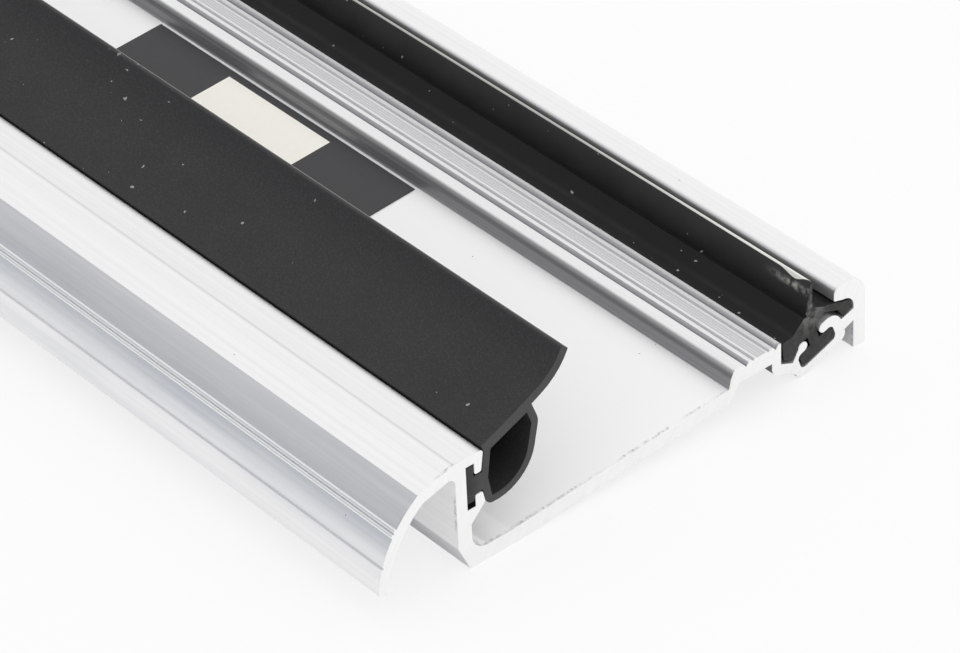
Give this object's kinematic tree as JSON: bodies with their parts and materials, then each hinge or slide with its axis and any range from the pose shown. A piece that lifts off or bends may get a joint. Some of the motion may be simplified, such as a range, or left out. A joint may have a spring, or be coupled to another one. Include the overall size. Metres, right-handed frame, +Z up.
{
  "type": "door threshold",
  "caption": "Aluminium door threshold bar with a curved outer nose, a bubble seal with an upturned flap, a ribbed platform and a finned gasket along the inner edge.",
  "frame": {"origin": "centre of the bounding box's base, on the floor under the bar", "axes": "+X along the bar, +Y towards the inside of the building, +Z up"},
  "size_m": [0.914, 0.1002, 0.0316],
  "materials": {
    "aluminium": "mill finish, satin",
    "seal_rubber": "matt",
    "gasket_rubber": "satin",
    "label_film": "matt film with a plain cream field"
  },
  "bodies": {
    "root": {"threshold_bar": "aluminium", "bubble_seal": "seal_rubber", "finned_gasket": "gasket_rubber", "label_strip": "label_film"}
  },
  "joints": []
}
